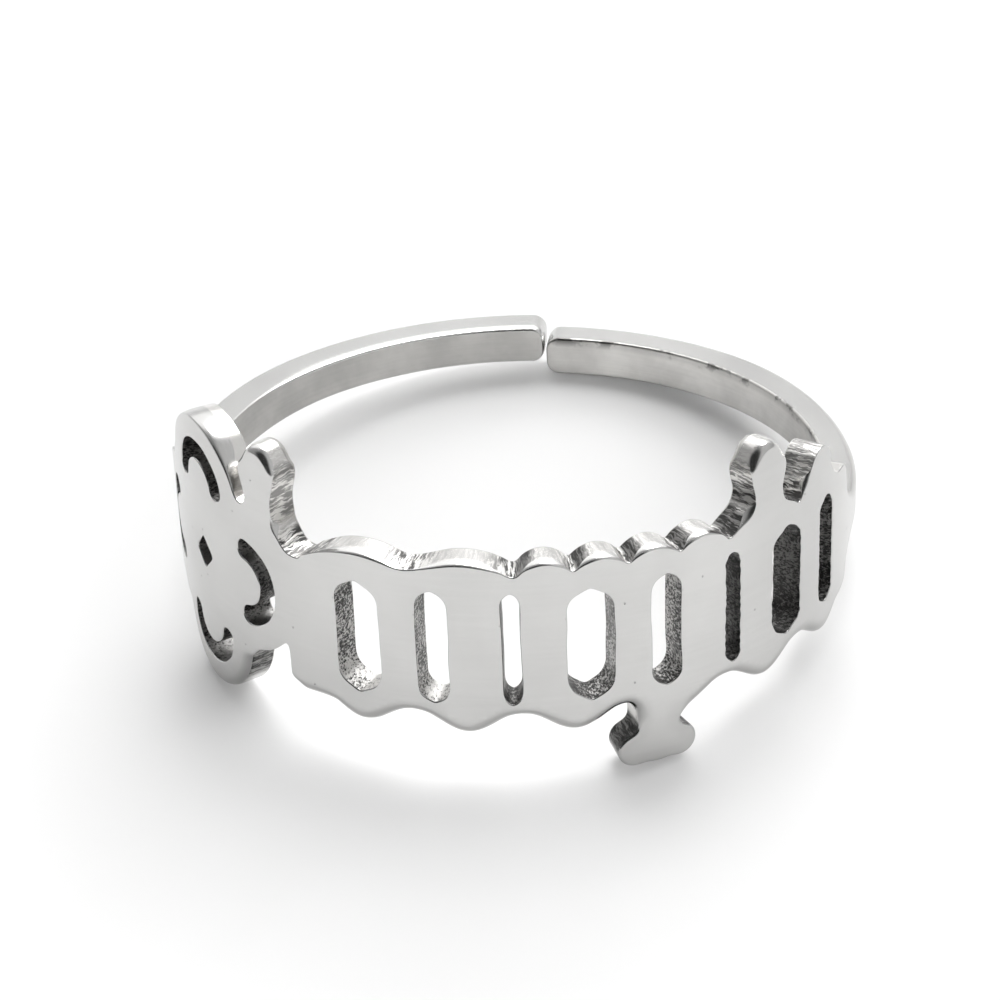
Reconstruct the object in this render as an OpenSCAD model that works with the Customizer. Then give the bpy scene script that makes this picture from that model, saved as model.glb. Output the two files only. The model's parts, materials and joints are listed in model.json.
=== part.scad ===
// Openwork cuff ring: a front plate pierced with pointed windows, with a quatrefoil at one end,
// finials and a trefoil drop, on a slim band whose two ends nearly meet at the back.
// It is drawn round an upright axis and then laid down on the three points that it rests on.
// Angles go round the ring from the middle of its front, positive to the right.
// Heights are measured from the middle of the windows.

/* [Finger hole] */
// Inside diameter: 17.3 mm is a US size 7
finger_d = 17.3; // [16.5:0.1:18.5]

/* [Plate] */
// Thickness of the pierced plate
plate_t = 0.9; // [0.8:0.05:1.1]
// Height of the rounded crests along the upper edge
crest_top = 2.5; // [2.45:0.05:2.7]
// Height of the valleys beside a whole crest
crest_valley = 1.95; // [1.85:0.05:2]
// Height of the valleys between two half crests
split_valley = 2.1; // [2.05:0.05:2.2]
// Depth of the lower edge in the middle of each bay
low_point = 2.55; // [2.4:0.05:2.8]
// Depth of the lower edge between two bays
low_valley = 1.98; // [1.85:0.01:2.1]
// Angle of the middle of the first bay
first_bay = -26.2; // [-26.5:0.1:-26]
// Angle from one bay to the next
bay_pitch = 17.2; // [17.1:0.05:17.25]
// Angle at which the plate ends on the right
plate_end = 69.8; // [69.5:0.1:71]
// Rounding of the plate's ends
plate_end_r = 0.5; // [0.3:0.05:0.55]

/* [Windows] */
// Width of the wide windows
wide_w = 1.25; // [1:0.05:1.4]
// Width of the middling windows
middling_w = 0.85; // [0.7:0.05:1]
// Width of the narrow windows
narrow_w = 0.5; // [0.4:0.05:0.65]
// Height from the middle of a window to its pointed tip
window_tip = 1.66; // [1.5:0.02:1.7]
// Rise of a window's slanting ends for each unit across
window_slope = 0.58; // [0.3:0.02:0.8]

/* [Quatrefoil] */
// Angle of its centre
foil_angle = -62; // [-62.5:0.1:-61.5]
// Height of its centre
foil_z = 0.45; // [0.35:0.01:0.55]
// Distance from its centre to the middle of each foil
foil_reach = 2.05; // [1.95:0.05:2.15]
// Radius of each foil
foil_r = 2; // [1.9:0.05:2.1]
// Distance from its centre to the barbs between the foils
barb_reach = 3.3; // [3.1:0.1:3.5]
// Inner radius of the horseshoe slit in each foil
slit_r = 0.72; // [0.65:0.01:0.8]
// Width of the slits
slit_w = 0.56; // [0.48:0.01:0.6]
// Angle from the middle of a slit to each of its ends
slit_sweep = 80; // [65:1:85]
// Half the diagonal of the diamond pierced in its centre
diamond_reach = 0.5; // [0.4:0.05:0.6]

/* [Finials and drop] */
// Height of the finial beside the quatrefoil
left_finial_top = 4.6; // [4.2:0.1:4.9]
// Angle of the finial beside the quatrefoil
left_finial_angle = -44.5; // [-45:0.1:-43]
// Height of the tall finial near the right end
tall_finial_top = 4.25; // [3.9:0.05:4.5]
// Angle of the tall finial
tall_finial_angle = 43; // [42:0.1:44]
// Height of the last finial
end_finial_top = 3.15; // [3.1:0.05:3.4]
// Angle of the last finial
end_finial_angle = 57.5; // [56:0.1:58]
// Radius of the finials' buds
bud_r = 0.58; // [0.56:0.01:0.62]
// Width of the finials' stems
stem_w = 0.98; // [0.8:0.02:1.1]
// Angle of the drop
drop_angle = 21.3; // [21:0.1:23]
// Depth of the trefoil drop that the ring rests on
drop_low = 3.9; // [3.8:0.05:4]
// Radius of each lobe of the drop
drop_lobe_r = 0.46; // [0.42:0.01:0.5]

/* [Band] */
// Width of the band, along the finger
band_w = 1.2; // [1.1:0.05:1.5]
// Thickness of the band
band_t = 1.05; // [0.95:0.05:1.2]
// Rounding of the band's outer edges
band_outer_r = 0.22; // [0.16:0.02:0.4]
// Rounding of the band's inner edges
band_inner_r = 0.12; // [0.1:0.02:0.2]
// Height of the middle of the left arm
left_arm_z = 0.15; // [0.1:0.05:0.2]
// Height of the middle of the right arm
right_arm_z = -0.2; // [-0.25:0.05:-0.1]
// Angle at which the two ends meet behind
meeting_angle = 172.9; // [172:0.1:178]
// Angle left open between the two ends
end_gap = 0.6; // [0.3:0.1:4]
// Rounding of the corners of the two ends
end_r = 0.32; // [0.2:0.02:0.4]

/* [Hidden] */
$fn = 96;

finger_r = finger_d / 2;
plate_r = finger_r + plate_t;
band_r = finger_r + band_t;
// Length of one degree along the plate's outer surface
per_degree = plate_r * PI / 180;
bay_w = bay_pitch * per_degree;
// How far neighbouring strips of the arcade overlap
lap = 0.08;
// How far the strips under the crests and those above the waves overlap
height_lap = 1;
// How far a cut starts and ends clear of the metal
clear = 1;
// Height of the cylinders that bound the plate and cut the finger hole, which pass every edge of the ring
bore_h = 4 * (foil_r + foil_reach);
// How far the band's section reaches into the finger hole, which then trims it
bore_trim = 0.05;
// How far the rounding of a band's end passes the faces that it meets, so that it cuts them cleanly
end_pass = 0.01;
// Steps in which each bay draws the wave of the lower edge
wave_steps = 14;
// A bud's tip stands this many radii above its middle, on two lines that touch the bud
tip_share = 1.25;
tip_touch = acos(1 / tip_share);
// How far a stem spreads at its foot
stem_spread = 0.35;
// Width of the drop's neck, and how far its side lobes hang from its middle
neck_w = 1.1;
side_lobe_x = 0.66;
// Angle at which the arcade starts, inside the quatrefoil
arcade_start = -39.7;
// Angle taken up by the bar that closes the arcade at each end, and the heights of its top and foot
closing_bar = 10.3;
closing_top = 1.85;
closing_low = -2.15;
// Width of the metal outside a horseshoe slit
ring_bar = foil_r - slit_r - slit_w;
// Where each arm starts inside the plate, and where it ends
left_arm_start = foil_angle - (foil_reach + foil_r - ring_bar / 2) / per_degree;
left_arm_end = meeting_angle + end_gap / 2 - 360;
right_arm_start = plate_end - 2;
right_arm_end = meeting_angle - end_gap / 2;

bay_count = 6;
// One row for each crest: its middle, in bays from the middle of the first, and its width in bays
PLACE = 0;
WIDTH = 1;
CRESTS = [[0, 1], [1, 1], [1.75, 0.5], [2.25, 0.5], [2.75, 0.5], [3.25, 0.5], [4, 1], [4.75, 0.5]];

// The windows stand evenly from the middle of the first bay to that of the last, in three widths by turns
window_count = 8;
window_pitch = (bay_count - 1) * bay_pitch / (window_count - 1);
WINDOW_WIDTHS = [wide_w, middling_w, narrow_w];
// One row for each finial: its angle and its height
ANGLE = 0;
TOP = 1;
FINIALS = [
    [left_finial_angle, left_finial_top],
    [tall_finial_angle, tall_finial_top],
    [end_finial_angle, end_finial_top]
];

function bay_angle(place) = first_bay + place * bay_pitch;
function window_angle(i) = first_bay + i * window_pitch;
function on_ring(angle, r, z) = [r * sin(angle), -r * cos(angle), z];
function unit(v) = v / norm(v);
// The lower edge is a wave that is deepest in the middle of each bay
function lower_edge(x) =
    -(low_point + low_valley) / 2 - (low_point - low_valley) / 2 * cos(360 * x / bay_w);

// The ring rests on its drop, on the quatrefoil's lowest foil and on the underside of the right arm
rest_angle = 170;
foot_point = on_ring(drop_angle + side_lobe_x / per_degree, finger_r, -drop_low);
foil_point = on_ring(foil_angle, finger_r, foil_z - foil_reach - foil_r);
arm_point = on_ring(rest_angle, band_r - band_outer_r, right_arm_z - band_w / 2);
floor_up = unit(cross(arm_point - foot_point, foil_point - foot_point));
lay_angle = acos(floor_up * [0, 0, 1]);
lay_axis = cross(floor_up, [0, 0, 1]);
// Moves the middle of the laid ring over the origin
centring = [0, 0.07];

// A flat shape made into a bar that runs radially through the plate at an angle
module through(angle) {
    rotate([0, 0, angle])
        translate([0, clear - finger_r, 0])
            rotate([90, 0, 0])
                linear_extrude(height = plate_t + 2 * clear)
                    children();
}

module rounded_rectangle(w, h, r) {
    square([w, h - 2 * r], center = true);
    square([w - 2 * r, h], center = true);
    for (x = [-1, 1], y = [-1, 1])
        translate([x * (w / 2 - r), y * (h / 2 - r)]) circle(r);
}

// Straight sides, with a blunt point at the top and at the bottom
module window_outline(w) {
    shoulder = window_tip - window_slope * w / 2;
    polygon([
        [0, window_tip], [-w / 2, shoulder], [-w / 2, -shoulder],
        [0, -window_tip], [w / 2, -shoulder], [w / 2, shoulder]
    ]);
}

// A strip w wide under a round crest, whose arc runs through the valleys on both sides of it
module crest_outline(w, valley) {
    rise = crest_top - valley;
    r = (pow(rise, 2) + pow(w / 2, 2)) / (2 * rise);
    translate([-w / 2 - lap, -height_lap]) square([w + 2 * lap, crest_valley + height_lap]);
    translate([0, crest_top - r]) circle(r);
}

// The lower part of one bay, above the wave
module wave_outline() {
    half = bay_w / 2;
    polygon([
        [half + lap, 0], [-half - lap, 0], [-half - lap, -low_valley],
        for (i = [0:wave_steps]) let (x = (i / wave_steps - 0.5) * bay_w) [x, lower_edge(x)],
        [half + lap, -low_valley]
    ]);
}

// The bar that closes the arcade at each end
module closing_bar_outline() {
    translate([0, (closing_top + closing_low) / 2])
        rounded_rectangle(closing_bar * per_degree, closing_top - closing_low, plate_end_r);
}

// A stem that spreads at its foot and carries a round bud with a pointed tip
module finial_outline(top) {
    bud_z = top - tip_share * bud_r;
    polygon([
        [-stem_w / 2 - stem_spread, crest_valley], [stem_w / 2 + stem_spread, crest_valley],
        [stem_w / 2, crest_valley + 2 * stem_spread], [stem_w / 2, bud_z],
        [-stem_w / 2, bud_z], [-stem_w / 2, crest_valley + 2 * stem_spread]
    ]);
    translate([0, bud_z]) {
        circle(bud_r);
        polygon([
            [0, tip_share * bud_r],
            [-bud_r * sin(tip_touch), bud_r * cos(tip_touch)],
            [bud_r * sin(tip_touch), bud_r * cos(tip_touch)]
        ]);
    }
}

// A neck and three lobes in a row
module drop_outline() {
    lobe_z = drop_lobe_r - drop_low;
    translate([-neck_w / 2, lobe_z]) square([neck_w, -low_valley - lobe_z]);
    for (x = [-side_lobe_x, 0, side_lobe_x])
        translate([x, lobe_z]) circle(drop_lobe_r);
}

// A horseshoe round the middle of a foil, open towards the quatrefoil's centre
module slit_outline(turn) {
    far = 2 * (slit_r + slit_w);
    middle = slit_r + slit_w / 2;
    rotate(turn) {
        intersection() {
            difference() {
                circle(slit_r + slit_w);
                circle(slit_r);
            }
            polygon([
                [0, 0], far * [cos(slit_sweep), -sin(slit_sweep)], [far, -far],
                [far, far], far * [cos(slit_sweep), sin(slit_sweep)]
            ]);
        }
        for (side = [-1, 1])
            rotate(side * slit_sweep) translate([middle, 0]) circle(slit_w / 2);
    }
}

module quatrefoil() {
    for (side = [-1, 1])
        through(foil_angle + side * foil_reach / per_degree)
            translate([0, foil_z]) circle(foil_r);
    through(foil_angle)
        translate([0, foil_z]) {
            for (side = [-1, 1])
                translate([0, side * foil_reach]) circle(foil_r);
            square(sqrt(2) * barb_reach, center = true);
        }
}

module quatrefoil_piercing() {
    for (side = [-1, 1]) {
        through(foil_angle + side * foil_reach / per_degree)
            translate([0, foil_z]) slit_outline(90 - side * 90);
        through(foil_angle)
            translate([0, foil_z + side * foil_reach]) slit_outline(side * 90);
    }
    through(foil_angle)
        translate([0, foil_z])
            rotate(45) square(sqrt(2) * diamond_reach, center = true);
}

module arcade() {
    for (place = [0:bay_count - 1])
        through(bay_angle(place)) wave_outline();
    for (row = CRESTS)
        through(bay_angle(row[PLACE]))
            crest_outline(row[WIDTH] * bay_w, row[WIDTH] < 1 ? split_valley : crest_valley);
    for (row = FINIALS)
        through(row[ANGLE]) finial_outline(row[TOP]);
    through(drop_angle) drop_outline();
    for (angle = [arcade_start + closing_bar / 2, plate_end - closing_bar / 2])
        through(angle) closing_bar_outline();
}

module windows() {
    for (i = [0:window_count - 1])
        through(window_angle(i)) window_outline(WINDOW_WIDTHS[i % len(WINDOW_WIDTHS)]);
}

// Flat where it meets the finger, well rounded outside
module band_section() {
    inside = finger_r - bore_trim;
    flat_h = band_w - 2 * band_outer_r;
    translate([inside, -flat_h / 2]) square([band_r - inside, flat_h]);
    translate([inside + band_inner_r, -band_w / 2])
        square([band_r - band_outer_r - inside - band_inner_r, band_w]);
    translate([inside, band_inner_r - band_w / 2])
        square([2 * band_inner_r, band_w - 2 * band_inner_r]);
    for (side = [-1, 1]) {
        translate([band_r - band_outer_r, side * (band_w / 2 - band_outer_r)]) circle(band_outer_r);
        translate([inside + band_inner_r, side * (band_w / 2 - band_inner_r)]) circle(band_inner_r);
    }
}

// What is cut off the corners of a band's end to round it, where inward is 1 or -1 towards the metal
module end_corners(angle, inward) {
    side_h = band_w / 2;
    inset = end_r - end_pass;
    through(angle)
        for (side = [-1, 1])
            difference() {
                translate([min(-inward * lap, inward * end_r),
                           min(side * (side_h + lap), side * (side_h - end_r))])
                    square(end_r + lap);
                translate([inward * inset, side * (side_h - inset)]) circle(end_r);
            }
}

module arm(start, finish) {
    rotate([0, 0, start - 90])
        rotate_extrude(angle = finish - start)
            band_section();
}

// The seam of its round wall is turned to the gap between the two ends
module finger_bore() {
    rotate([0, 0, meeting_angle - 90])
        cylinder(r = finger_r, h = bore_h, center = true);
}

module trimmed_by_bore() {
    difference() {
        children();
        finger_bore();
    }
}

module left_arm() {
    difference() {
        trimmed_by_bore()
            translate([0, 0, left_arm_z]) arm(left_arm_end, left_arm_start);
        translate([0, 0, left_arm_z]) end_corners(left_arm_end, 1);
    }
}

module right_arm() {
    difference() {
        trimmed_by_bore()
            translate([0, 0, right_arm_z]) arm(right_arm_start, right_arm_end);
        translate([0, 0, right_arm_z]) end_corners(right_arm_end, -1);
    }
}

module plate() {
    difference() {
        intersection() {
            cylinder(r = plate_r, h = bore_h, center = true);
            union() {
                quatrefoil();
                arcade();
            }
        }
        finger_bore();
        quatrefoil_piercing();
        windows();
    }
}

module ring() {
    color("silver")
        translate([centring[0], centring[1], -floor_up * foot_point])
            rotate(a = lay_angle, v = lay_axis)
                union() {
                    plate();
                    left_arm();
                    right_arm();
                }
}

ring();
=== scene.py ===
import json
import math

import bpy
import numpy as np
from mathutils import Matrix, Vector
from mathutils.geometry import delaunay_2d_cdt


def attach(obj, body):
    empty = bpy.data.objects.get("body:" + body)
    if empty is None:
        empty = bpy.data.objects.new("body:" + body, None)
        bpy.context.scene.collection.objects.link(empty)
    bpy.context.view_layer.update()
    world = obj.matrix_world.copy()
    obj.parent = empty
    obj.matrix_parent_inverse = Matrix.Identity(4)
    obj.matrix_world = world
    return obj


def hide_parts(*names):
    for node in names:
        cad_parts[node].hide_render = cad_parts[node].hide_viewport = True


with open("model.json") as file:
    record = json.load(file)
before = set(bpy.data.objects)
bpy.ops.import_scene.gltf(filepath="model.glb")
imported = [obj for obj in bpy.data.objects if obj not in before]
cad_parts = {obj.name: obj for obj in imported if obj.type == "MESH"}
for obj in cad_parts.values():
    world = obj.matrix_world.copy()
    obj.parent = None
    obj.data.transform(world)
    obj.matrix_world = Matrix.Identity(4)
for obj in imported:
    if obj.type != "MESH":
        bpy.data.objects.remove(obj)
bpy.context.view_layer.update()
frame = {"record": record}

# An openwork cuff ring of polished steel, lying on a pale table.
# Its whole sheet, plate and band alike, is drawn unrolled: u runs round the outside of the plate and z
# across it.
# Lengths are in millimetres until a mesh is made, and angles run round the ring from the middle of its front.

MM = 0.001

# The finger hole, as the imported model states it
HOLE = next(m for m in frame["record"]["mounts"] if m["name"] == "finger_hole")
FINGER_R = HOLE["dims"]["r_mm"]

# The plate
PLATE_T = 0.9
PLATE_R = FINGER_R + PLATE_T
PER_DEGREE = PLATE_R * math.pi / 180
PLATE_END = 69.8
FIRST_BAY, BAY_PITCH, BAY_COUNT = -26.2, 17.2, 6
BAY_W = BAY_PITCH * PER_DEGREE
CREST_TOP, CREST_VALLEY, SPLIT_VALLEY = 2.5, 1.95, 2.1
LOW_POINT, LOW_VALLEY = 2.55, 1.98
# The middle of each crest, in bays from the middle of the first, and its width in bays
CRESTS = ((0, 1), (1, 1), (1.75, 0.5), (2.25, 0.5), (2.75, 0.5), (3.25, 0.5), (4, 1), (4.75, 0.5))
ARCADE_START = -39.7
CLOSING_BAR = 10.3 * PER_DEGREE
CLOSING_TOP, CLOSING_LOW, CLOSING_R = 1.85, -2.15, 0.5

# The windows, in three widths by turns
WINDOW_COUNT = 8
WINDOW_PITCH = (BAY_COUNT - 1) * BAY_PITCH / (WINDOW_COUNT - 1)
WINDOW_WIDTHS = (1.25, 0.85, 0.5)
WINDOW_TIP, WINDOW_SLOPE = 1.66, 0.58

# The quatrefoil
FOIL_ANGLE, FOIL_Z = -62, 0.45
FOIL_REACH, FOIL_R, BARB_REACH = 2.05, 2.0, 3.3
SLIT_R, SLIT_W, SLIT_SWEEP = 0.72, 0.56, math.radians(80)
DIAMOND_REACH = 0.5

# The finials: angle and height of each, and the drop
FINIALS = ((-44.5, 4.6), (43, 4.25), (57.5, 3.15))
BUD_R, STEM_W, STEM_SPREAD, TIP_SHARE = 0.58, 0.98, 0.35, 1.25
DROP_ANGLE, DROP_LOW, DROP_LOBE_R = 21.3, 3.9, 0.46
NECK_W, SIDE_LOBE_X = 1.1, 0.66

# The band, which is thinner at the sides than behind, and how far its edges are rounded on each arm:
# the outer ones evenly, the finger's by different lengths along the finger and through the thickness
BAND_W, BAND_SIDE_T, BAND_BACK_T = 1.2, 0.94, 1.12
LEFT_OUTER_R, RIGHT_OUTER_R = 0.15, 0.26
LEFT_INNER_R, RIGHT_INNER_R = (0.11, 0.3), (0.07, 0.08)

# Where its arms lie across the sheet, and where their ends meet, how many degrees stand between them, and how
# round their corners are
LEFT_ARM_Z, RIGHT_ARM_Z = 0.15, -0.2
MEETING_ANGLE, END_GAP, END_R = 172.9, 0.4, 0.42
LEFT_ARM_START = FOIL_ANGLE - (FOIL_REACH + FOIL_R - (FOIL_R - SLIT_R - SLIT_W) / 2) / PER_DEGREE
LEFT_ARM_END = MEETING_ANGLE + END_GAP / 2 - 360
RIGHT_ARM_START = PLATE_END - 2
RIGHT_ARM_END = MEETING_ANGLE - END_GAP / 2

# Fineness of the mesh: the grid that the outline is found on, the steps along an edge, those across a face,
# and those of an edge's profile over its outer roll, its wall and its inner roll
OUTLINE_STEP = 0.04
EDGE_STEP = 0.07
FACE_STEP = 0.12
OUTER_STEPS, WALL_STEPS, INNER_STEPS = 5, 5, 4

# Which material a face of the mesh has
OUTSIDE, CUT_WALL, FINGER_SIDE = 0, 1, 2

# How far a crisp edge is rounded, and how far the wavy edges wander: slowly all over the plate, and quickly
# in the openings at the right
CRISP_R = 0.04
SLOW_WAVE, QUICK_WAVE = 0.018, 0.012


def steps(x, start, end):
    """0 before start, 1 after end, and 3t² - 2t³ between them, where t is the share of the way."""
    t = np.clip((x - start) / (end - start), 0, 1)
    return t * t * (3 - 2 * t)


def within(x, start, end, ease):
    """1 from start to end and 0 outside, eased over a length inside each end."""
    return steps(x, start, start + ease) * (1 - steps(x, end - ease, end))


def disc(u, z, at_u, at_z, r):
    """Distance to a circle: the distance to its middle less its radius."""
    return np.hypot(u - at_u, z - at_z) - r


def bar(u, z, at_u, at_z, half_u, half_z, r):
    """Distance to a rectangle whose corners are rounded to r: that to the smaller one inside it, less r."""
    du = np.abs(u - at_u) - half_u + r
    dz = np.abs(z - at_z) - half_z + r
    return np.hypot(np.maximum(du, 0), np.maximum(dz, 0)) + np.minimum(np.maximum(du, dz), 0) - r


def joined(a, b, blend):
    """The lesser of two distances, less a parabola of width blend where they are nearly equal, which fills
    the notch between the shapes."""
    near = np.maximum(blend - np.abs(a - b), 0)
    return np.minimum(a, b) - near * near / (4 * blend)


def common(a, b, blend):
    """The greater of two distances, plus the same parabola, which rounds the corner."""
    return -joined(-a, -b, blend)


def bay_u(place):
    """Place of a point that lies so many bays from the middle of the first."""
    return (FIRST_BAY + place * BAY_PITCH) * PER_DEGREE


def window_u(i):
    """Place of a window's middle. The windows stand evenly, from the middle of the first bay to that of the
    last."""
    return (FIRST_BAY + i * WINDOW_PITCH) * PER_DEGREE


def arcade(u, z):
    """Upright strip between a wave below and discs whose tops are the crests above.

    The wave is a cosine that is deepest in the middle of each bay. A disc's circle runs through the valleys
    on both sides of its crest, which are filled softly at the left and are nearly sharp at the right."""
    left, right = bay_u(-0.5), bay_u(BAY_COUNT - 0.5)
    swing = np.cos(2 * np.pi * (u - bay_u(0)) / BAY_W)
    wave = (LOW_POINT + LOW_VALLEY) / 2 + (LOW_POINT - LOW_VALLEY) / 2 * swing
    aside = np.abs(u - (left + right) / 2) - (right - left) / 2
    field = np.maximum(np.maximum(z - CREST_VALLEY + 0.1, -(z + wave)), aside)
    soft = 0.6 - 0.42 * steps(u, bay_u(0.7), bay_u(1.8))
    for place, width in CRESTS:
        rise = CREST_TOP - (SPLIT_VALLEY if width < 1 else CREST_VALLEY)
        lit_right_half = width * BAY_W / 2
        r = (rise * rise + lit_right_half * lit_right_half) / (2 * rise)
        crest = np.maximum(disc(u, z, bay_u(place), CREST_TOP - r, r), 1 - z)
        field = joined(field, crest, soft)
    for angle in (ARCADE_START, PLATE_END - CLOSING_BAR / PER_DEGREE):
        middle = angle * PER_DEGREE + CLOSING_BAR / 2
        half_z = (CLOSING_TOP - CLOSING_LOW) / 2
        closing = bar(u, z, middle, CLOSING_TOP - half_z, CLOSING_BAR / 2, half_z, CLOSING_R)
        field = joined(field, closing, 0.15)
    return field


def quatrefoil(u, z):
    """Four discs round a square whose corners stand out between them as barbs."""
    at = FOIL_ANGLE * PER_DEGREE
    field = bar(u, z, at, FOIL_Z, BARB_REACH / math.sqrt(2), BARB_REACH / math.sqrt(2), 0.4)
    for side in (-1, 1):
        field = joined(field, disc(u, z, at + side * FOIL_REACH, FOIL_Z, FOIL_R), 0.3)
        field = joined(field, disc(u, z, at, FOIL_Z + side * FOIL_REACH, FOIL_R), 0.3)
    return field


def finial(u, z, angle, top):
    """A stem that widens downwards as a square law, and a bud: a round one with a lesser one let into its
    top."""
    at = angle * PER_DEGREE
    bud_z = top - TIP_SHARE * BUD_R
    spread = np.clip((CREST_VALLEY + 3 * STEM_SPREAD - z) / (3 * STEM_SPREAD), 0, 1.5)
    lit_right_half = STEM_W / 2 + STEM_SPREAD * spread * spread
    stem = np.maximum(np.abs(u - at) - lit_right_half, np.maximum(z - bud_z, CREST_VALLEY - 0.4 - z))
    cap_r = 0.72 * BUD_R
    bud = joined(disc(u, z, at, bud_z, BUD_R), disc(u, z, at, top - cap_r, cap_r), 0.5)
    return joined(stem, bud, 0.4)


def drop(u, z):
    """A neck with a foot of three lobes in a row."""
    at = DROP_ANGLE * PER_DEGREE
    lobe_z = DROP_LOBE_R - DROP_LOW
    half_z = (-LOW_VALLEY - lobe_z) / 2 + 0.2
    field = bar(u, z, at, lobe_z + half_z, NECK_W / 2, half_z, 0.05)
    for x in (-SIDE_LOBE_X, 0, SIDE_LOBE_X):
        field = joined(field, disc(u, z, at + x, lobe_z, DROP_LOBE_R), 0.35)
    return field


def arms(u, z):
    """The two strips of the band, with rounded corners where they meet behind."""
    left = (LEFT_ARM_END + LEFT_ARM_START) / 2 * PER_DEGREE
    right = (RIGHT_ARM_START + RIGHT_ARM_END) / 2 * PER_DEGREE
    left_half = (LEFT_ARM_START - LEFT_ARM_END) / 2 * PER_DEGREE
    right_half = (RIGHT_ARM_END - RIGHT_ARM_START) / 2 * PER_DEGREE
    return np.minimum(
        bar(u, z, left, LEFT_ARM_Z, left_half, BAND_W / 2, END_R),
        bar(u, z, right, RIGHT_ARM_Z, right_half, BAND_W / 2, END_R),
    )


def outline(u, z):
    """Distance to the outside of the unrolled sheet, less than 0 in the metal and in its openings."""
    field = joined(arcade(u, z), quatrefoil(u, z), 0.3)
    for angle, top in FINIALS:
        field = joined(field, finial(u, z, angle, top), 0.55)
    field = joined(field, drop(u, z), 0.5)
    return joined(field, arms(u, z), 0.3 + 0.9 * steps(u, 0, 10))


def window(u, z, i):
    """A slot with a blunt point above and below: two upright sides and four slanting ones, softly
    cornered."""
    w = WINDOW_WIDTHS[i % len(WINDOW_WIDTHS)]
    across = np.sqrt((u - window_u(i)) ** 2 + 0.004)
    ends = (np.abs(z) + WINDOW_SLOPE * across - WINDOW_TIP) / math.hypot(1, WINDOW_SLOPE)
    return common(across - w / 2, ends, 0.16 + 0.1 * w)


def slit(u, z, at_u, at_z, turn):
    """A bent slot: the distance to an arc of SLIT_SWEEP to each side of turn, less half the slot's width."""
    x, y = u - at_u, z - at_z
    along, off = x * math.cos(turn) + y * math.sin(turn), np.abs(y * math.cos(turn) - x * math.sin(turn))
    r = SLIT_R + SLIT_W / 2
    past_end = np.hypot(along - r * math.cos(SLIT_SWEEP), off - r * math.sin(SLIT_SWEEP))
    on_arc = np.abs(np.hypot(along, off) - r)
    return np.where(np.arctan2(off, along) < SLIT_SWEEP, on_arc, past_end) - SLIT_W / 2


def openings(u, z):
    """Distance to the nearest opening pierced in the sheet, less than 0 inside it."""
    at = FOIL_ANGLE * PER_DEGREE
    field = bar((u - at + z - FOIL_Z) / math.sqrt(2), (z - FOIL_Z - u + at) / math.sqrt(2),
                0, 0, DIAMOND_REACH / math.sqrt(2), DIAMOND_REACH / math.sqrt(2), 0.1)
    for side in (-1, 1):
        turn = math.pi / 2 - side * math.pi / 2
        field = np.minimum(field, slit(u, z, at + side * FOIL_REACH, FOIL_Z, turn))
        field = np.minimum(field, slit(u, z, at, FOIL_Z + side * FOIL_REACH, side * math.pi / 2))
    for i in range(WINDOW_COUNT):
        field = np.minimum(field, window(u, z, i))
    return field


def unevenness(u, z, size):
    """Sum of three sine waves, at most about size, which keeps hand-finished edges from being perfect."""
    return size * (0.5 * np.sin(1.7 * u + 2.3 * z + 0.4) + 0.3 * np.sin(4.1 * u - 3.2 * z + 1.9)
                   + 0.2 * np.sin(7.3 * u + 6.1 * z + 5.2))


def sheet(u, z):
    """Distance to the edge of the metal, less than 0 in it: inside the outline and outside every opening.

    The openings wander by the whole of the waves and the outline by half of them. From window 4.5 on, a
    quick wave, whose phase wanders too, makes the openings' edges ragged."""
    size = SLOW_WAVE * (1 - on_band(u))
    uneven_u, uneven_z = u + unevenness(u, z, size), z + unevenness(z, u, size)
    quick = np.sin(19 * z + 2 * np.sin(5 * z + 3 * u))
    ragged = QUICK_WAVE * steps(u, window_u(4.3), window_u(4.7)) * quick
    return np.maximum(outline((u + uneven_u) / 2, (z + uneven_z) / 2), -openings(uneven_u, uneven_z) - ragged)


def in_order(following):
    """Sorts elements that each point at the next one round a loop, loop after loop.

    The lowest number on a loop marks it. Pointers that double their reach find it, and then count each
    element's steps to it. Returns one array of element numbers for each loop."""
    count = len(following)
    doublings = count.bit_length()
    mark, reach = np.arange(count), following.copy()
    for _ in range(doublings):
        mark = np.minimum(mark, mark[reach])
        reach = reach[reach]
    ahead = np.where(mark == np.arange(count), np.arange(count), following)
    left = (ahead != np.arange(count)).astype(int)
    for _ in range(doublings):
        left = left + left[ahead]
        ahead = ahead[ahead]
    order = np.lexsort((np.where(left == 0, -count, -left), mark))
    return np.split(order, np.flatnonzero(np.diff(mark[order])) + 1)


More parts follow.
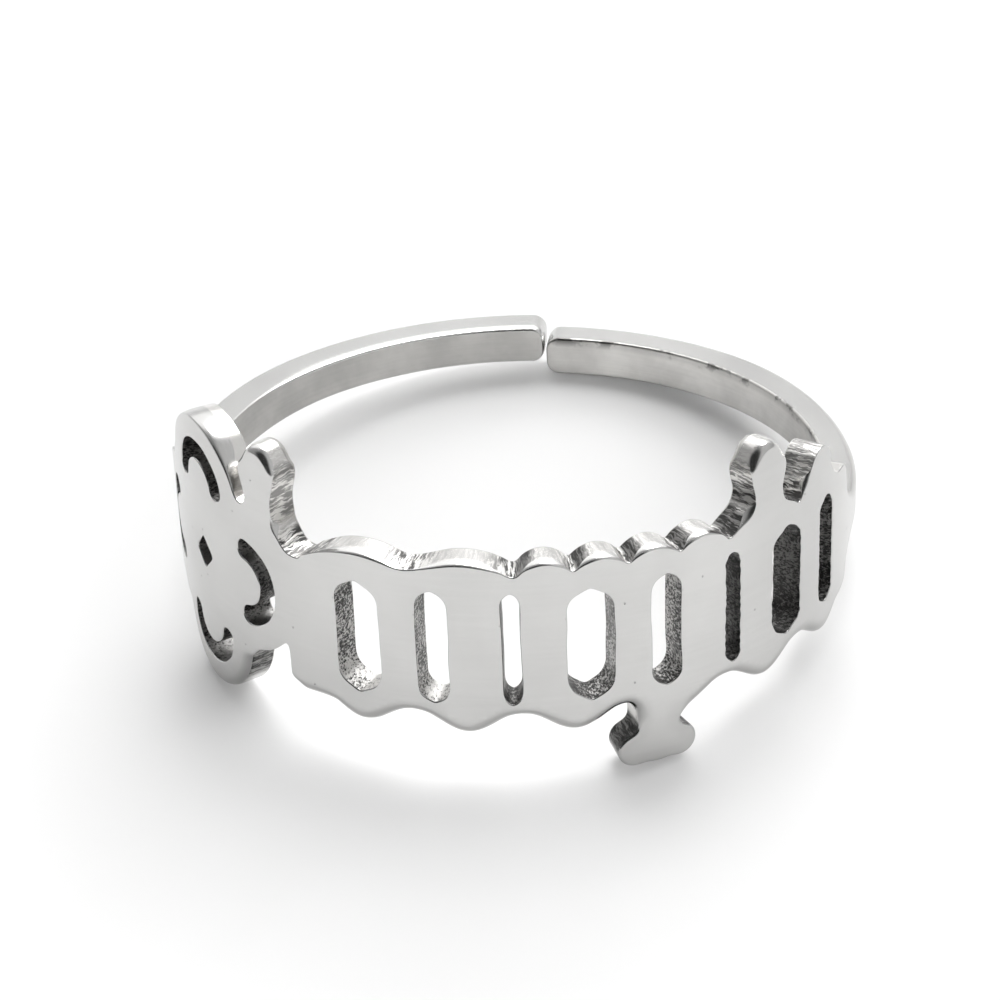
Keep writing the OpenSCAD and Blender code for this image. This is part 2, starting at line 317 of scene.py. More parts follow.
def level_loops(field, us, zs):
    """Closed lines along which a gridded distance is 0, with the metal on their left.

    Each side of a grid cell whose ends have different signs is crossed once, at the place where the
    distance, taken as straight, is 0. A cell joins the crossings on its sides by which corners are in
    the metal, and each joint says which crossing follows which."""
    metal = field < 0
    across = metal[1:] != metal[:-1]
    upright = metal[:, 1:] != metal[:, :-1]
    across_id = np.where(across, np.cumsum(across).reshape(across.shape) - 1, -1)
    upright_id = np.where(upright, np.cumsum(upright).reshape(upright.shape) - 1 + across.sum(), -1)
    i, j = np.nonzero(across)
    share = field[i, j] / (field[i, j] - field[i + 1, j])
    on_across = np.stack([us[i] + share * (us[1] - us[0]), zs[j]], 1)
    i, j = np.nonzero(upright)
    share = field[i, j] / (field[i, j] - field[i, j + 1])
    on_upright = np.stack([us[i], zs[j] + share * (zs[1] - zs[0])], 1)
    points = np.concatenate([on_across, on_upright])

    painted_side_shade = {"low": across_id[:, :-1], "top": across_id[:, 1:],
             "left": upright_id[:-1], "right": upright_id[1:]}
    corners = metal[:-1, :-1] + 2 * metal[1:, :-1] + 4 * metal[1:, 1:] + 8 * metal[:-1, 1:]
    walk = {"low left": (1, 5), "right low": (2, 10), "right left": (3,), "top right": (4, 5),
            "top low": (6,), "top left": (7,), "left top": (8, 10), "low top": (9,), "right top": (11,),
            "left right": (12,), "low right": (13,), "left low": (14,)}
    following = np.full(len(points), -1)
    for way, cases in walk.items():
        start, end = way.split()
        cells = np.isin(corners, cases)
        following[painted_side_shade[start][cells]] = painted_side_shade[end][cells]
    return [points[order] for order in in_order(following)]


def evenly(loop, spacing):
    """The same closed line with its points a like distance apart, by their length along it."""
    closed = np.concatenate([loop, loop[:1]])
    length = np.concatenate([[0], np.cumsum(np.hypot(*np.diff(closed, axis=0).T))])
    at = np.linspace(0, length[-1], max(12, round(length[-1] / spacing)), endpoint=False)
    return np.stack([np.interp(at, length, closed[:, k]) for k in range(2)], 1)


def onto_edge(loop):
    """Moves points onto the exact edge: each goes back along the slope by its distance over the slope's
    square, which is taken as at least 1/4."""
    small = 1e-4
    u, z = loop.T
    rise_u = sheet(u + small, z) - sheet(u - small, z)
    rise_z = sheet(u, z + small) - sheet(u, z - small)
    slope = np.stack([rise_u, rise_z], 1) / (2 * small)
    return loop - slope * (sheet(u, z) / np.maximum((slope ** 2).sum(1), 0.25))[:, None]


def edge_loops():
    """Every edge of the sheet as an even closed line, the outside first and then the openings."""
    us = np.arange(LEFT_ARM_END * PER_DEGREE - 0.5, RIGHT_ARM_END * PER_DEGREE + 0.5, OUTLINE_STEP)
    zs = np.arange(-4.3, 5.1, OUTLINE_STEP)
    loops = level_loops(sheet(us[:, None], zs[None, :]), us, zs)
    loops.sort(key=len, reverse=True)
    for _ in range(2):
        loops = [onto_edge(evenly(loop, EDGE_STEP)) for loop in loops]
    return loops


def into_metal(loop):
    """Directions at right angles to a loop, to the left of its run, softened over a few points."""
    run = np.roll(loop, -1, 0) - np.roll(loop, 1, 0)
    way = np.stack([-run[:, 1], run[:, 0]], 1)
    way /= np.hypot(*way.T)[:, None]
    way = way + np.roll(way, 1, 0) + np.roll(way, -1, 0)
    return way / np.hypot(*way.T)[:, None]


def on_band(u):
    """0 on the plate, 1 on the band, by the place along the sheet."""
    degrees = u / PER_DEGREE
    return np.maximum(1 - steps(degrees, LEFT_ARM_START - 14, LEFT_ARM_START - 2),
                      steps(degrees, PLATE_END - 2, PLATE_END + 8))


def thickness(u):
    """From the outside to the finger: the plate's, and on the band more behind than at the sides."""
    band = BAND_SIDE_T + (BAND_BACK_T - BAND_SIDE_T) * steps(np.abs(u) / PER_DEGREE, 95, 135)
    return PLATE_T + (band - PLATE_T) * on_band(u)


def upright(u, z, depth):
    """Rolls the sheet up: u becomes an angle, and depth is taken from the outside towards the finger."""
    angle = u / PLATE_R
    r = FINGER_R + thickness(u) - depth
    return np.stack([r * np.sin(angle), -r * np.cos(angle), z + 0 * r], -1)


def directions(u, across, along, outward):
    """Directions on the sheet, given by their parts round the ring, along the finger and outward, as they
    stand on the rolled ring."""
    angle = u / PLATE_R
    way = np.stack([across * np.cos(angle) + outward * np.sin(angle),
                    across * np.sin(angle) - outward * np.cos(angle), along + 0 * angle], -1)
    return way / np.linalg.norm(way, axis=-1, keepdims=True)


def lying_matrix():
    """The least turn that takes the upright axis to the finger hole's, and the move that puts it in place.

    The mount's point is the middle of the hole's wall, between the lowest drop and the highest finial."""
    turn = Vector((0, 0, 1)).rotation_difference(Vector(HOLE["axis"])).to_matrix()
    middle = Vector((0, 0, (max(top for _, top in FINIALS) - DROP_LOW) / 2 * MM))
    return Matrix.Translation(Vector(HOLE["pos_m"]) - turn @ middle) @ turn.to_4x4()


def lying(points, matrix):
    """Points of the upright ring in millimetres, as places in the shared frame in metres."""
    m = np.array(matrix)
    return points * MM @ m[:3, :3].T + m[:3, 3]


def near_caps(u, z):
    """1 on the rounded tops of the two tall finials, 0 elsewhere."""
    cap = 0 * u
    for angle, top in FINIALS[:2]:
        cap = np.maximum(cap, steps(z, top - 0.8, top - 0.25) * (np.abs(u - angle * PER_DEGREE) < 1))
    return cap


def rolls(loop, is_outside):
    """How an edge is rounded, point by point: in and down at the outside face, and in and down at the
    finger side.

    Openings have crisp edges. The outside edge is crisp on the crests' flanks and on the drop, well rolled
    below, and falls away slowly on the crests' tops, the tall buds and the top of the quatrefoil. The band's
    arms have radii of their own, and the left one's finger side is rolled less at the side than behind."""
    u, z = loop.T
    if not is_outside:
        small = np.full(len(u), CRISP_R)
        return small, small, small, small
    band, right = on_band(u), u > 0
    low = steps(-z, 1.7, 2.1) * (1 - 0.8 * steps(-z, LOW_POINT - 0.1, LOW_POINT + 0.15) * on_drop(u))
    peak = within(z, CREST_TOP - 0.3, CREST_TOP + 0.3, 0.3)
    cap, foil = near_caps(u, z), steps(-u, 8.1, 8.3) * steps(z, 2.9, 4.2)
    outer = np.where(right, RIGHT_OUTER_R, LEFT_OUTER_R)
    reach = (0.035 + 0.27 * low + 0.07 * peak + 0.2 * cap + 0.08 * foil) * (1 - band) + outer * band
    fall = (0.035 + 0.2 * low + 0.3 * peak + 0.28 * cap + 0.75 * foil) * (1 - band) + outer * band
    inner = 0.05 + 0.04 * peak + 0.2 * cap
    grown = np.where(right, 1, 0.15 + 0.85 * steps(-u / PER_DEGREE, 112, 140))
    inner_in = inner * (1 - band) + np.where(right, RIGHT_INNER_R[0], LEFT_INNER_R[0] * grown) * band
    inner_down = inner * (1 - band) + np.where(right, RIGHT_INNER_R[1], LEFT_INNER_R[1] * grown) * band
    return reach, fall, inner_in, inner_down


def on_drop(u):
    """1 at the drop, 0 elsewhere, by the place along the sheet."""
    return 1 - steps(np.abs(u - DROP_ANGLE * PER_DEGREE), 1.25, 1.6)


def edge_strip(loop, is_outside):
    """A profile carried along an edge: a quarter ellipse off the outside face, the wall, and a quarter
    ellipse onto the finger side. Returns u, z, depth and the surface's directions on the rolled ring,
    one row for each station of the profile. An ellipse's are at right angles to its slope."""
    reach, fall, inner_reach, inner_fall = rolls(loop, is_outside)
    thick = thickness(loop[:, 0])
    turn = np.linspace(0, math.pi / 2, OUTER_STEPS + 1)[:, None]
    outer_in, outer_down = reach * (1 - np.sin(turn)), fall * (1 - np.cos(turn))
    outer_away, outer_up = fall * np.sin(turn), reach * np.cos(turn)
    share = np.linspace(0, 1, WALL_STEPS + 1)[1:-1, None]
    wall_down = fall + share * (thick - fall - inner_fall)
    level = 0 * wall_down
    turn = np.linspace(0, math.pi / 2, INNER_STEPS + 1)[:, None]
    inner_in, inner_down = inner_reach * (1 - np.cos(turn)), thick - inner_fall * (1 - np.sin(turn))
    inner_away, inner_up = inner_fall * np.cos(turn), -inner_reach * np.sin(turn)
    inward = np.concatenate([outer_in, level, inner_in])
    depth = np.concatenate([outer_down, wall_down, inner_down])
    away = np.concatenate([outer_away, level + 1, inner_away])
    up = np.concatenate([outer_up, level, inner_up])
    way = into_metal(loop)
    u, z = loop[:, 0] + inward * way[:, 0], loop[:, 1] + inward * way[:, 1]
    return u, z, depth, directions(u, -away * way[:, 0], -away * way[:, 1], up)


def face_fill(rims, margin):
    """Triangles that fill a face between the rims of its edge strips, over a grid of even points.

    The points are those of the rims, in order, and then the grid's, and the filler leaves out the
    openings. Returns the grid's points and the triangles."""
    u0, u1 = rims[0][:, 0].min(), rims[0][:, 0].max()
    columns = np.arange(u0, u1, FACE_STEP)
    rows = np.arange(rims[0][:, 1].min(), rims[0][:, 1].max(), FACE_STEP)
    u, z = (a.ravel() for a in np.meshgrid(columns, rows, indexing="ij"))
    clear = sheet(u, z) < -margin(u, z)
    grid = np.stack([u[clear], z[clear]], 1)
    flat = np.concatenate([*rims, grid])
    starts = np.cumsum([0] + [len(rim) for rim in rims])
    borders = [list(range(a, b)) for a, b in zip(starts[:-1], starts[1:])]
    within_rims = 2
    return grid, delaunay_2d_cdt([Vector(p) for p in flat], [], borders, within_rims, 1e-7)[2]


def openwork_mesh(matrix):
    """The whole ring: an edge strip along every loop, and the two faces filled between them."""
    loops = edge_loops()
    strips = [edge_strip(loop, k == 0) for k, loop in enumerate(loops)]
    stations = OUTER_STEPS + WALL_STEPS + INNER_STEPS + 1
    counts = [len(loop) for loop in loops]
    bases = np.cumsum([0] + [stations * n for n in counts])

    flat, facing, quads, quad_kind, quad_uv = [], [], [], [], []
    for (u, z, depth, ways), n, base, loop in zip(strips, counts, bases, loops):
        flat.append(np.stack([u.ravel(), z.ravel(), depth.ravel()], 1))
        facing.append(ways.reshape(-1, 3))
        k, j = (a.ravel() for a in np.meshgrid(np.arange(stations - 1), np.arange(n), indexing="ij"))
        after = (j + 1) % n
        quads.append(base + np.stack([k * n + j, k * n + after, (k + 1) * n + after, (k + 1) * n + j], 1))
        band = on_band(loop[:, 0])[j] > 0.5
        wall = (k >= OUTER_STEPS - 1) & (k < OUTER_STEPS + WALL_STEPS)
        inner = (k >= OUTER_STEPS + WALL_STEPS) & ~(band & (loop[j, 0] < 0))
        quad_kind.append(np.where(inner, FINGER_SIDE, np.where(wall & ~band, CUT_WALL, OUTSIDE)))
        step = np.hypot(*(np.roll(loop, -1, 0) - loop).T)
        along = np.concatenate([[0], np.cumsum(step)])
        quad_uv.append(np.stack([np.stack([along[j + a], depth[k + b, (j + a) % n]], 1)
                                 for a, b in ((0, 0), (1, 0), (1, 1), (0, 1))], 1))

    triangles, kinds, triangle_uv = [], [], []
    base = bases[-1]
    for station, kind in ((0, OUTSIDE), (stations - 1, FINGER_SIDE)):
        rims = [np.stack([u[station], z[station]], 1) for u, z, _, _ in strips]
        grid, faces = face_fill(rims, outer_margin if kind == OUTSIDE else inner_margin)
        depth = np.zeros(len(grid)) if kind == OUTSIDE else thickness(grid[:, 0])
        number = np.concatenate([b + station * n + np.arange(n) for b, n in zip(bases, counts)]
                                + [base + np.arange(len(grid))])
        faces = np.array(faces)
        if kind == FINGER_SIDE:
            faces = faces[:, ::-1]
        spread = np.concatenate([*rims, grid])
        triangle_uv.append(spread[faces])
        triangles.append(number[faces])
        kinds.append(np.full(len(faces), kind))
        flat.append(np.column_stack([grid, depth]))
        facing.append(directions(grid[:, 0], 0, 0, np.full(len(grid), 1.0 if kind == OUTSIDE else -1.0)))
        base += len(grid)

    flat = np.concatenate(flat)
    places = lying(upright(*flat.T), matrix)
    quads = np.concatenate(quads)[:, ::-1]
    uv_quads = np.concatenate(quad_uv)[:, ::-1]
    faces = quads.tolist() + np.concatenate(triangles).tolist()
    mesh = bpy.data.meshes.new("openwork_ring")
    mesh.from_pydata(places.tolist(), [], faces)
    mesh.polygons.foreach_set("material_index", np.concatenate(quad_kind + kinds).astype(np.int32))
    uv = np.concatenate([uv_quads.reshape(-1, 2), np.concatenate(triangle_uv).reshape(-1, 2)])
    mesh.uv_layers.new(name="Sheet").data.foreach_set("uv", uv.astype(np.float32).ravel())
    facing = np.concatenate(facing)
    on_faces = np.zeros(len(flat) - bases[-1])
    opening = np.concatenate([np.full(stations * n, float(k > 0)) for k, n in enumerate(counts)] + [on_faces])
    # Painted shade along the plate's rolled lower edge, kept as a point attribute
    low_shade = np.concatenate([shade_low_edge(loop, station, k == 0)
                           for k, loop in enumerate(loops) for station in range(stations)] + [on_faces])
    u, z, _ = flat.T
    # 1 on the walls that look to the left along the sheet
    to_left = steps(-facing[:, 0] * np.cos(u / PLATE_R) - facing[:, 1] * np.sin(u / PLATE_R), 0.1, 0.5)
    for name, values in (("cut", cut_roughly(u, z, opening, to_left)),
                         ("wall_shade", painted_wall_shade(u, z, opening, to_left)), ("dark_rim", rim_darkening(u, z)),
                         ("low_shade", low_shade), ("opening", opening), ("upturned", upturned(u, facing, opening))):
        mesh.attributes.new(name, "FLOAT", "POINT").data.foreach_set("value", values.astype(np.float32))
    mesh.shade_smooth()
    mesh.normals_split_custom_set_from_vertices((facing @ np.array(matrix)[:3, :3].T).tolist())
    mesh.update()
    return mesh


def upturned(u, facing, opening):
    """How far an opening's wall looks up along the finger, used to paint light on those walls. From window 1.5
    on the sign is turned, faintly, so it paints shade there.
    """
    return np.maximum(facing[:, 2], 0) * opening * (1 - 1.3 * steps(u, window_u(1.3), window_u(1.7)))


def foil_notch(u, z):
    """1 on the wall of the notch between the quatrefoil's lower right side and the first bay, 0 elsewhere."""
    return within(u, -9.5, -5.6, 0.4) * within(-z, 0.9, 3.0, 0.4)


def cut_roughly(u, z, opening, to_left):
    """How rough a wall is left: wholly in the openings, on the crests' flanks and the foot, nearly so on the
    finials' stems, and hardly where the outside was polished, as on the crests' tops and the lower edge."""
    # Painted shade: walls that look to the left, on the crests from about bay 1.5 on, are rough up to their
    # tops and so darker
    shaded_left_flank = to_left * steps(u, bay_u(1.3), bay_u(1.6)) * (1 - steps(z, CREST_TOP, CREST_TOP + 0.1))
    smooth_top = (1 - shaded_left_flank) * steps(z, CREST_TOP - 0.28, CREST_TOP - 0.06)
    crest = steps(z, CREST_VALLEY - 0.3, CREST_VALLEY) * (1 - 0.9 * smooth_top)
    stem = steps(z, CREST_TOP + 0.02, CREST_TOP + 0.2)
    for angle, top in FINIALS[:2]:
        stem = stem * (1 - steps(z, top - 0.6, top - 0.25) * (np.abs(u - angle * PER_DEGREE) < 1.2))
    foil = steps(-u, 7.9, 8.3)
    stem = stem * (1 - foil) + 0.9 * foil * (1 - steps(z, 2.6, 3.3)) * steps(z, -0.5, 0.5)
    middle_bud = steps(u, bay_u(3.6), bay_u(3.8)) * steps(z, 3.2, 3.5)
    cleaner = np.maximum(np.maximum(middle_bud, steps(u, bay_u(4.5), bay_u(4.7))), steps(-u, 5.5, 6))
    stem = np.maximum(stem * (1 - 0.3 * cleaner), foil_notch(u, z))
    foot = steps(-z, LOW_POINT, LOW_POINT + 0.2) * steps(z, 0.2 - DROP_LOW, 0.6 - DROP_LOW)
    plate_end = steps(u, 60 * PER_DEGREE, 62.5 * PER_DEGREE)
    outside = np.maximum(np.maximum(crest * (1 - foil), stem), foot * (1 - foil)) * (1 - plate_end)
    return np.maximum(opening, outside)


def painted_wall_shade(u, z, opening, to_left):
    """How much painted shade darkens a wall. In the openings, a little at the left and in the middle, more in
    the third window and the quatrefoil, and nearly black at the right. Outside, only the foil's notch and the
    walls that look to the left, on the small crests and on the tall stem."""
    right, foil = steps(u, window_u(4.2), window_u(4.8)), steps(-u, 6, 6.8)
    narrow = 0.6 * (np.abs(u - window_u(2)) < 0.5) + 0.15 * steps(u, window_u(2.3), window_u(2.7))
    pierced = (0.2 + narrow + 0.8 * right + 0.6 * foil) * (1 - 0.35 * steps(u, window_u(6.5), window_u(6.9)))
    shaded_flank = to_left * steps(u, bay_u(1.3), bay_u(1.6)) * (1 - steps(u, bay_u(4.4), bay_u(4.6)))
    crest = 0.95 * (1 - steps(z, CREST_TOP - 0.08, CREST_TOP + 0.02))
    tall_stem = 0.6 * steps(z, 2.5, 2.8) * (1 - steps(z, 3.0, 3.4))
    outside = np.maximum(shaded_flank * np.maximum(crest, tall_stem), 0.5 * foil_notch(u, z))
    return np.where(opening > 0, pierced, outside)


def rim_darkening(u, z):
    """How much darker the rim of the finger side is made: only along the top of the right arm."""
    rim = RIGHT_ARM_Z + BAND_W / 2
    return steps(z, rim - 0.2, rim - 0.1) * steps(u, 76 * PER_DEGREE, 86 * PER_DEGREE)


def shade_low_edge(loop, station, is_outside):
    """How much painted shade darkens the rolled lower edge of the plate: more so the further down the roll, and
    on the wall.
    """
    if not is_outside:
        return 0 * loop[:, 0]
    low = steps(-loop[:, 1], 1.5, 2.0) * (1 - on_band(loop[:, 0]))
    return low * min(1.0, (station + 0.6) / OUTER_STEPS) ** 0.8


def outer_margin(u, z):
    """How far from an edge the outside face's own points start."""
    return (0.12 + 0.25 * steps(-z, 1.6, 2.0) + 0.12 * steps(z, 2, 2.4) + 0.12 * near_caps(u, z)
            + 0.25 * on_band(u))


def inner_margin(u, z):
    """How far from an edge the finger side's own points start."""
    return 0.12 + 0.06 * steps(z, 2, 2.4) + 0.12 * near_caps(u, z) + 0.1 * on_band(u)


class Nodes:
    """Makes a node tree one node at a time. A socket is named by its name, with _ for a space, or by _ and its
    number, and its value is a number, a vector or another node's output."""

    def __init__(self, tree):
        self.tree = tree

    def add(self, kind, settings=(), **sockets):
        """Adds a node and gives its first output."""
        node = self.tree.nodes.new("ShaderNode" + kind)
        for name, value in dict(settings).items():
            setattr(node, name, value)
        for name, value in sockets.items():
            number = name[1:]
            socket = node.inputs[int(number) if number.isdigit() else name.replace("_", " ")]
            if isinstance(value, bpy.types.NodeSocket):
                self.tree.links.new(value, socket)
            else:
                socket.default_value = value
        return node.outputs[0]

    def output(self, kind, name, settings=(), **sockets):
        """Adds a node and gives one of its outputs by name."""
        return self.add(kind, settings, **sockets).node.outputs[name]

    def give(self, shader, name, output):
        """Joins an output to one of a shader's sockets."""
        self.tree.links.new(output, shader.inputs[name])

    def math(self, operation, *values):
        sockets = {f"_{k}": value for k, value in enumerate(values)}
        return self.add("Math", {"operation": operation}, **sockets)

    def times(self, first, *others):
        for value in others:
            first = self.math("MULTIPLY", first, value)
        return first

    def plus(self, first, *others):
        for value in others:
            first = self.math("ADD", first, value)
        return first

    def scaled(self, value, factor, offset):
        """A value times a factor, plus an offset."""
        return self.math("MULTIPLY_ADD", value, factor, offset)

    def span(self, value, low, high, to_low=0.0, to_high=1.0):
        """Carries a value from one range to another, eased and held at both ends."""
        return self.add("MapRange", {"interpolation_type": "SMOOTHSTEP"}, Value=value,
                        From_Min=low, From_Max=high, To_Min=to_low, To_Max=to_high)

    def mix(self, share, low, high):
        return self.add("Mix", {"data_type": "FLOAT"}, Factor=share, A=low, B=high)

    def noise(self, vector, scale, detail=2.0, rough=0.5):
        return self.add("TexNoise", Vector=vector, Scale=scale, Detail=detail, Roughness=rough)

    def stretched(self, vector, x, y):
        return self.add("Mapping", Vector=vector, Scale=(x, y, 1.0))

    def dot(self, vector, other):
        return self.output("VectorMath", "Value", {"operation": "DOT_PRODUCT"}, _0=vector, _1=other)

    def attribute(self, name):
        return self.output("Attribute", "Fac", {"attribute_name": name})

    def tinted(self, value, red, green, blue):
        """A grey as a colour, with a factor for each of its parts."""
        red, green, blue = (self.math("MULTIPLY", value, part) for part in (red, green, blue))
        return self.add("CombineColor", Red=red, Green=green, Blue=blue)

    def bump(self, height, distance, strength=1.0):
        """The surface's direction where a height, in shares of a distance in metres, is laid on it."""
        return self.add("Bump", Height=height, Distance=distance, Strength=strength)


def steel(name, roughness=None):
    """A bare metal, its roughness set on the shader where it is even. Returns it, its nodes, its shader, its
    place on the ring and its place on the unrolled sheet in millimetres."""
    material = bpy.data.materials.new(name)
    material.use_nodes = True
    nodes, shader = Nodes(material.node_tree), material.node_tree.nodes["Principled BSDF"]
    shader.inputs["Metallic"].default_value = 1.0
    if roughness is not None:
        shader.inputs["Roughness"].default_value = roughness
    return material, nodes, shader, nodes.output("TexCoord", "Object"), nodes.add("UVMap", {"uv_map": "Sheet"})


# How much of its brightness the steel loses, as painted shade, along the plate's rolled lower edge
LOW_SHADE_LOSS = 0.45


def polished_steel():
    """Outside: bright and nearly even, with faint clouds, streaks and small pits, and painted shade along its
    lower edge. The ring's left and right sides are painted a little darker than its front, as shade."""
    material, nodes, shader, place, sheet_uv = steel("polished steel", 0.2)
    clouds = nodes.span(nodes.noise(place, 420, 3.0), 0.3, 0.7, 0.58, 0.62)
    streaks = nodes.span(nodes.noise(nodes.stretched(sheet_uv, 0.35, 9), 1.0, 3.0), 0.3, 0.7, -0.008, 0.008)
    x = nodes.add("SeparateXYZ", Vector=place)
    # Painted shade: darker towards the ring's left and right sides than at its front
    painted_side_shade = nodes.times(nodes.span(x, -0.008, -0.0035, 0.88, 1.0), nodes.span(x, 0.0045, 0.0075, 1.0, 0.87))
    cells = nodes.add("TexVoronoi", {"voronoi_dimensions": "2D"}, Vector=sheet_uv, Scale=0.75).node
    pit = nodes.times(nodes.span(cells.outputs["Distance"], 0.01, 0.035, 1.0, 0.0),
                      nodes.math("GREATER_THAN", cells.outputs["Color"], 0.62))
    value = nodes.times(nodes.plus(clouds, streaks), painted_side_shade, nodes.scaled(pit, -0.35, 1.0),
                        nodes.scaled(nodes.attribute("low_shade"), -LOW_SHADE_LOSS, 1.0))
    nodes.give(shader, "Base Color", nodes.tinted(value, 1.0, 0.995, 0.98))
    waves = nodes.math("SUBTRACT", nodes.noise(place, 300, 2.0), nodes.times(pit, 1.5))
    nodes.give(shader, "Normal", nodes.bump(waves, 0.00002, 0.35))
    return material


def cut_steel():
    """Walls: polished where the "cut" attribute is 0. Where it is 1, outer walls are scored through the
    thickness, and openings are grainy, with oxide in the hollows. The openings' walls that look up are painted
    lighter, and from window 1.5 on faintly darker, and walls are painted nearly black, as shade, where the
    attribute of painted wall shade is 1. The plate's rolled lower edge gets painted shade too. A slow noise
    bends the scores and grains."""
    material, nodes, shader, place, sheet_uv = steel("cut steel")
    cut, wall_shade, opening = (nodes.attribute(name) for name in ("cut", "wall_shade", "opening"))
    wander = nodes.times(nodes.noise(sheet_uv, 2.5, 2.0), 0.2)
    shift = nodes.add("CombineXYZ", X=wander, Y=wander)
    bent_uv = nodes.add("VectorMath", {"operation": "ADD"}, _0=sheet_uv, _1=shift)
    scores = nodes.noise(nodes.stretched(bent_uv, 13, 1.6), 1.0, 3.0, 0.7)
    grains = nodes.noise(nodes.stretched(bent_uv, 15, 9), 1.0, 3.0, 0.75)
    height = nodes.mix(nodes.times(opening, 0.85), scores, grains)
    patches = nodes.scaled(nodes.noise(place, 1500, 2.0), 0.25, -0.145)
    # Painted light: fewer dark flecks on the openings' walls that look up, and from window 1.5 on faint painted
    # shade; the patches are random
    lift = nodes.scaled(nodes.attribute("upturned"), 0.08, patches)
    flecks = nodes.span(nodes.plus(height, lift), 0.44, 0.55)
    scored, grainy, shade_black = (nodes.scaled(flecks, *part) for part in ((0.7, 0.07), (0.62, 0.03), (0.13, 0.04)))
    # Painted shade: walls go nearly black where the attribute of painted wall shade is 1
    rough = nodes.mix(wall_shade, nodes.mix(opening, scored, grainy), shade_black)
    value = nodes.times(nodes.mix(cut, 0.7, rough), nodes.scaled(nodes.attribute("low_shade"), -LOW_SHADE_LOSS, 1.0))
    nodes.give(shader, "Base Color", nodes.tinted(value, 1.0, 0.985, 0.96))
    nodes.give(shader, "Roughness", nodes.scaled(cut, 0.24, 0.16))
    nodes.give(shader, "Normal", nodes.bump(nodes.times(height, nodes.scaled(cut, 0.97, 0.03)), 0.00003))
    return material


def finger_side_steel():
    """Finger side: satin, faintly warm and clouded, with fine scratches round the ring and a dark rim broken
    into chips.
    Its right half is painted lighter than its left, as light."""
    material, nodes, shader, place, sheet_uv = steel("finger side steel")
    clouds = nodes.noise(place, 500, 4.0, 0.6)
    scratches = nodes.noise(nodes.stretched(sheet_uv, 0.5, 11), 1.0, 3.0, 0.6)
    satin = nodes.plus(nodes.span(clouds, 0.3, 0.7, 0.42, 0.52), nodes.span(scratches, 0.35, 0.65, -0.01, 0.01))
    # Painted light: the right half of the finger side is lighter than its left
    lit_right_half = nodes.span(nodes.add("SeparateXYZ", Vector=place), 0.0, 0.003, 1.0, 1.35)
    chips = nodes.span(nodes.noise(place, 1500, 5.0, 0.65), 0.5, 0.6)
    # Darker along the right arm's top rim, broken into chips, with a bump
    dark_rim = nodes.times(nodes.attribute("dark_rim"), nodes.scaled(chips, 0.6, 0.3))
    value = nodes.times(satin, lit_right_half, nodes.scaled(dark_rim, -0.8, 1.0))
    nodes.give(shader, "Base Color", nodes.tinted(value, 1.0, 0.985, 0.955))
    nodes.give(shader, "Roughness", nodes.span(clouds, 0.3, 0.7, 0.38, 0.28))
    nodes.give(shader, "Normal", nodes.bump(nodes.plus(scratches, nodes.times(dark_rim, 1.5)), 0.00001, 0.4))
    return material


def ring_piece(matrix):
    """The ring with its three finishes, which stands for the whole solid."""
    mesh = openwork_mesh(matrix)
    for material in (polished_steel(), cut_steel(), finger_side_steel()):
        mesh.materials.append(material)
    piece = bpy.data.objects.new("openwork_ring", mesh)
    bpy.context.scene.collection.objects.link(piece)
    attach(piece, "root")
    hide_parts("ring")


# The camera, told in the upright ring's own frame, as the photograph's perspective gives it
CAMERA_DISTANCE = 77.85
CAMERA_ELEVATION = math.radians(27.276)
CAMERA_ROLL = math.radians(-2.178)
CAMERA_PAN = math.radians(-0.3448)
CAMERA_TILT = math.radians(-0.4567)
FOCAL_PX = 2741.9
PHOTO_PX = 1000


def camera(matrix):
    """Looks at the ring's middle from the front and above, turned a little by pan, tilt and roll."""
    back = Vector((0, -math.cos(CAMERA_ELEVATION), math.sin(CAMERA_ELEVATION)))
    place = back * CAMERA_DISTANCE * MM
    look = -back
    right = look.cross(Vector((0, 0, 1))).normalized()
    up = right.cross(look)
    look, right = (look * math.cos(CAMERA_PAN) + right * math.sin(CAMERA_PAN),
                   right * math.cos(CAMERA_PAN) - look * math.sin(CAMERA_PAN))
    look, up = (look * math.cos(CAMERA_TILT) + up * math.sin(CAMERA_TILT),
                up * math.cos(CAMERA_TILT) - look * math.sin(CAMERA_TILT))
    right, up = (right * math.cos(CAMERA_ROLL) + up * math.sin(CAMERA_ROLL),
                 up * math.cos(CAMERA_ROLL) - right * math.sin(CAMERA_ROLL))
    data = bpy.data.cameras.new("camera")
    data.sensor_width = 36
    data.lens = FOCAL_PX * data.sensor_width / PHOTO_PX
    data.clip_start = 0.005
    data.clip_end = 20
    taker = bpy.data.objects.new("camera", data)
    bpy.context.scene.collection.objects.link(taker)
    axes = Matrix((right, up, -look)).transposed().to_4x4()
    taker.matrix_world = matrix @ Matrix.Translation(place) @ axes
    bpy.context.scene.camera = taker


# How far the table reaches from the ring each way, in metres
TABLE_REACH = 3.0


def table():
    """A wide pale plane at the height that the ring rests on."""
    mesh = bpy.data.meshes.new("table")
    corners = [(x * TABLE_REACH, y * TABLE_REACH, 0) for x, y in ((-1, -1), (1, -1), (1, 1), (-1, 1))]
    mesh.from_pydata(corners, [], [(0, 1, 2, 3)])
    material = bpy.data.materials.new("pale table")
    material.use_nodes = True
    shader = material.node_tree.nodes["Principled BSDF"]
    shader.inputs["Base Color"].default_value = (0.93, 0.93, 0.93, 1)
    shader.inputs["Roughness"].default_value = 1.0
    shader.inputs["Specular IOR Level"].default_value = 0.0
    mesh.materials.append(material)
    piece = bpy.data.objects.new("table", mesh)
    bpy.context.scene.collection.objects.link(piece)


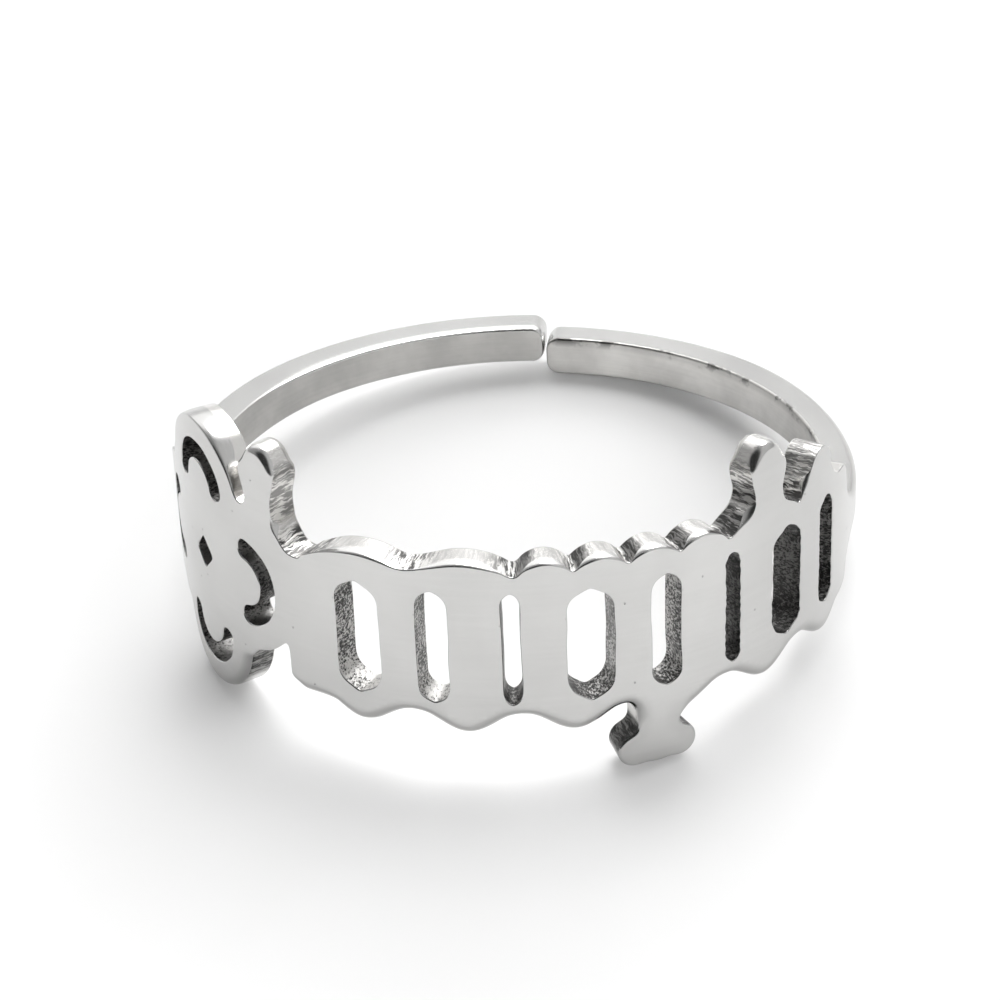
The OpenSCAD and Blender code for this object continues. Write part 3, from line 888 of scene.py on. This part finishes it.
# The soft lights round the table, wide ones low down and narrower ones above and behind: azimuth from the
# back towards the right, elevation and half-width in degrees, and strength
SOFT_LIGHTS = (
    (0, 12, 38, 2.85), (45, 12, 38, 1.85), (135, 12, 38, 2.85), (180, 12, 38, 2.75), (225, 12, 38, 0.55),
    (270, 12, 38, 0.4), (315, 12, 38, 0.7), (45, 38, 38, 0.9), (90, 38, 38, 0.7),
    (-22, 28, 17, 0.45), (0, 28, 17, 1.4), (22, 28, 17, 1.7), (70, 35, 17, 0.8),
    (-20, 52, 17, 0.55), (20, 52, 17, 1.3), (0, 60, 17, 4.6),
    (5, 58, 8, 1.1), (25, 58, 8, 1.2), (45, 58, 8, 0.7),
    (-15, 66, 8, 0.6), (5, 66, 8, 2.35), (25, 66, 8, 3.35), (45, 66, 8, 2.65),
)
# The part of a soft light's half-width that is at full strength
FULL_SHARE = 0.2


def studio():
    """Soft light from all round, which lights the table, and the sky that the steel mirrors: bright behind,
    with a window high up there, and dark in front on the left.

    The two are told apart by the kind of ray, so the background isn't sampled as a lamp."""
    world = bpy.data.worlds.new("studio")
    world.use_nodes = True
    world.cycles.sampling_method = "NONE"
    nodes = Nodes(world.node_tree)
    way = nodes.output("TexCoord", "Generated")

    def toward(x, y, z):
        """How nearly a ray runs in a direction: the cosine of the angle between them."""
        return nodes.dot(way, Vector((x, y, z)).normalized())

    spread = 0.0
    for azimuth, elevation, half_width, strength in SOFT_LIGHTS:
        turn, lift, edge = math.radians(azimuth), math.radians(elevation), math.radians(half_width)
        side = toward(math.cos(lift) * math.sin(turn), math.cos(lift) * math.cos(turn), math.sin(lift))
        light = nodes.span(side, math.cos(edge), math.cos(FULL_SHARE * edge), 0.0, strength)
        spread = nodes.plus(light, spread)

    base = nodes.span(toward(0, 1, 0), -0.3, 0.7, 0.36, 0.52)
    behind = nodes.times(nodes.span(toward(0, 0.9, 0.42), 0.6, 0.85, 0.0, 1.15),
                         nodes.span(toward(0, 0, 1), 0.27, 0.4, 0.4, 1.0))
    right = nodes.span(toward(1, -0.5, 0.8), 0.5, 0.95, 0.0, 0.4)
    dark = nodes.span(toward(-0.5, -1, 0.8), 0.62, 0.86, 1.0, 0.12)
    window_light = nodes.span(toward(0.3, 0.78, 1.14), 0.945, 0.965, 0.0, 9.0)
    mirrored = nodes.plus(nodes.times(nodes.plus(base, behind, right), dark), window_light)

    background = world.node_tree.nodes["Background"]
    background.inputs["Color"].default_value = (1, 1, 1, 1)
    lights_table = nodes.output("LightPath", "Is Diffuse Ray")
    nodes.give(background, "Strength", nodes.mix(lights_table, mirrored, spread))
    bpy.context.scene.world = world
    bpy.context.scene.view_settings.view_transform = "Standard"


lying_at = lying_matrix()
ring_piece(lying_at)
camera(lying_at)
table()
studio()
